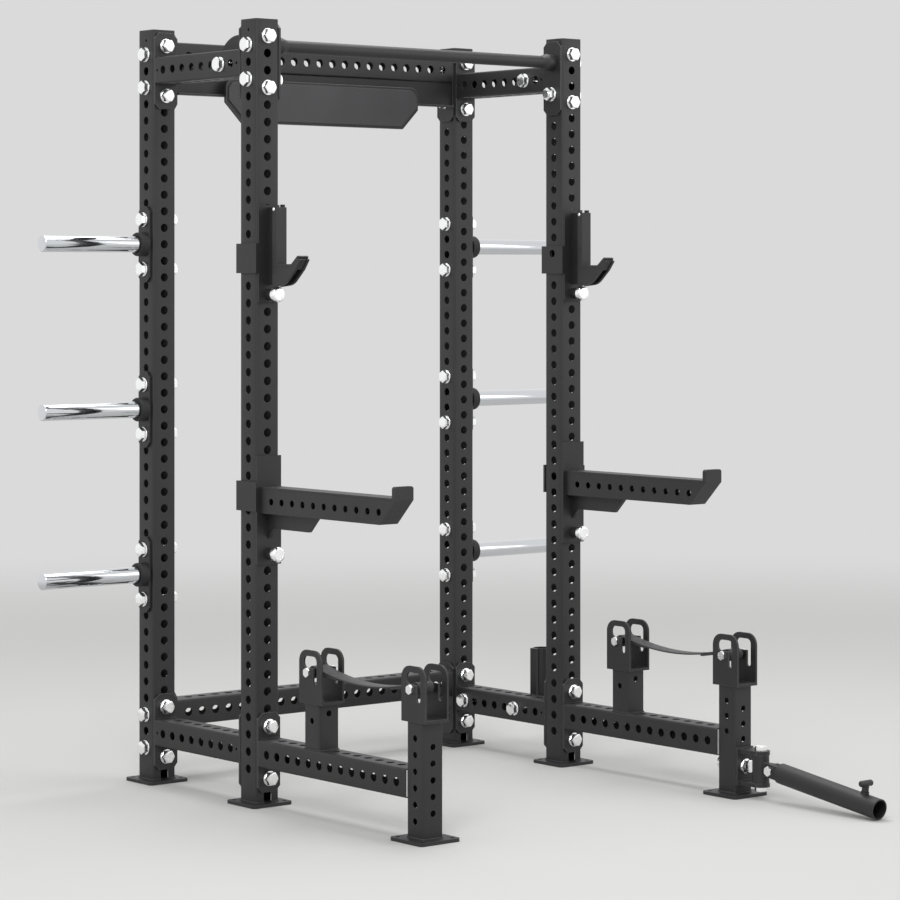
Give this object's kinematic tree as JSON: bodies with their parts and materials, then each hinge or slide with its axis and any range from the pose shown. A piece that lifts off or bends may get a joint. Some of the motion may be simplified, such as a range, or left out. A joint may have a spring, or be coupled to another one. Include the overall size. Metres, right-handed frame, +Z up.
{
  "type": "half rack",
  "caption": "Bolted square-tube half rack with plate pegs, bar hooks, spotter arms, low strap posts on front feet and a swivelling landmine sleeve.",
  "frame": {"origin": "on the floor under the middle of the whole object's bounding box", "axes": "+Z up, -Y to the front where the feet, hooks and arms are, +X to the right seen from the front"},
  "size_m": [2, 1.944, 2.28],
  "materials": {
    "powder_coat": "matte black powder coat on steel tube and plate",
    "sign_grey": "matte dark grey powder coat",
    "bright_zinc": "bright zinc plated fasteners and knobs",
    "chrome_peg": "polished chrome plated tube",
    "black_rubber": "matte moulded rubber",
    "black_plastic": "matte black wear plastic",
    "nylon_webbing": "woven black nylon webbing"
  },
  "bodies": {
    "rack": {"upright_rear_left": "powder_coat", "upright_front_left": "powder_coat", "upright_rear_right": "powder_coat", "upright_front_right": "powder_coat", "upright_caps": "powder_coat", "base_plates": "powder_coat", "lower_side_tube_left": "powder_coat", "lower_side_tube_right": "powder_coat", "top_side_tube_left": "powder_coat", "top_side_tube_right": "powder_coat", "side_tube_flanges": "powder_coat", "rear_top_crossmember": "powder_coat", "rear_bottom_crossmember": "powder_coat", "crossmember_flanges": "powder_coat", "sign_rail": "powder_coat", "sign_backing": "powder_coat", "sign_standoffs": "powder_coat", "corner_gusset": "powder_coat", "pull_up_bar": "powder_coat", "pull_up_bar_flanges": "powder_coat", "foot_tube_left": "powder_coat", "foot_tube_right": "powder_coat", "foot_flanges": "powder_coat", "strap_post_front_left": "powder_coat", "strap_post_rear_left": "powder_coat", "strap_post_front_right": "powder_coat", "strap_post_rear_right": "powder_coat", "strap_brackets_left": "powder_coat", "strap_brackets_right": "powder_coat", "peg_flanges": "powder_coat", "barbell_holder": "powder_coat", "landmine_bracket": "powder_coat", "spotter_arm_left": "powder_coat", "spotter_arm_right": "powder_coat", "sign_face": "sign_grey", "frame_bolts": "bright_zinc", "frame_washers": "bright_zinc", "frame_nuts": "bright_zinc", "strap_pins": "bright_zinc", "landmine_swivel_bolt": "bright_zinc", "plate_pegs_left": "chrome_peg", "plate_pegs_right": "chrome_peg", "peg_collars": "black_rubber", "strap_rollers": "black_rubber", "spotter_arm_liner_left": "black_plastic", "spotter_arm_liner_right": "black_plastic", "strap_left": "nylon_webbing", "strap_right": "nylon_webbing"},
    "landmine_swivel": {"landmine_barrel": "powder_coat", "landmine_hinge_pin": "bright_zinc"},
    "landmine_tube": {"landmine_sleeve": "powder_coat"},
    "thumbscrew": {"sleeve_thumbscrew": "powder_coat"},
    "hook_left": {"bar_hook_left": "powder_coat", "bar_hook_liner_left": "black_plastic"},
    "hook_pin_left": {"bar_hook_pin_left": "bright_zinc"},
    "arm_pin_left": {"spotter_arm_pin_left": "bright_zinc"},
    "hook_right": {"bar_hook_right": "powder_coat", "bar_hook_liner_right": "black_plastic"},
    "hook_pin_right": {"bar_hook_pin_right": "bright_zinc"},
    "arm_pin_right": {"spotter_arm_pin_right": "bright_zinc"}
  },
  "joints": [
    {"name": "landmine_swing", "type": "hinge", "parent": "rack", "child": "landmine_swivel", "pos_m": [0.59, -0.49996, 0.09], "axis": [0, 0, 1], "range_deg": [-80, 80]},
    {"name": "landmine_tip", "type": "hinge", "parent": "landmine_swivel", "child": "landmine_tube", "pos_m": [0.59, -0.55196, 0.09], "axis": [-1, 0, 0], "range_deg": [0, 80]},
    {"name": "thumbscrew_turn", "type": "hinge", "parent": "landmine_tube", "child": "thumbscrew", "pos_m": [0.59, -0.90845, 0.0399], "axis": [0, -0.1392, 0.9903], "range_deg": [-180, 180]},
    {"name": "hook_left_pull_off", "type": "slide", "parent": "rack", "child": "hook_left", "axis": [0, -1, 0], "range_m": [0, 0.13]},
    {"name": "hook_pin_left_pull", "type": "slide", "parent": "hook_left", "child": "hook_pin_left", "axis": [0, -1, 0], "range_m": [0, 0.02], "stiffness_N_per_m": 600},
    {"name": "arm_pin_left_pull", "type": "slide", "parent": "rack", "child": "arm_pin_left", "axis": [0, -1, 0], "range_m": [0, 0.02], "stiffness_N_per_m": 600},
    {"name": "hook_right_pull_off", "type": "slide", "parent": "rack", "child": "hook_right", "axis": [0, -1, 0], "range_m": [0, 0.13]},
    {"name": "hook_pin_right_pull", "type": "slide", "parent": "hook_right", "child": "hook_pin_right", "axis": [0, -1, 0], "range_m": [0, 0.02], "stiffness_N_per_m": 600},
    {"name": "arm_pin_right_pull", "type": "slide", "parent": "rack", "child": "arm_pin_right", "axis": [0, -1, 0], "range_m": [0, 0.02], "stiffness_N_per_m": 600}
  ]
}
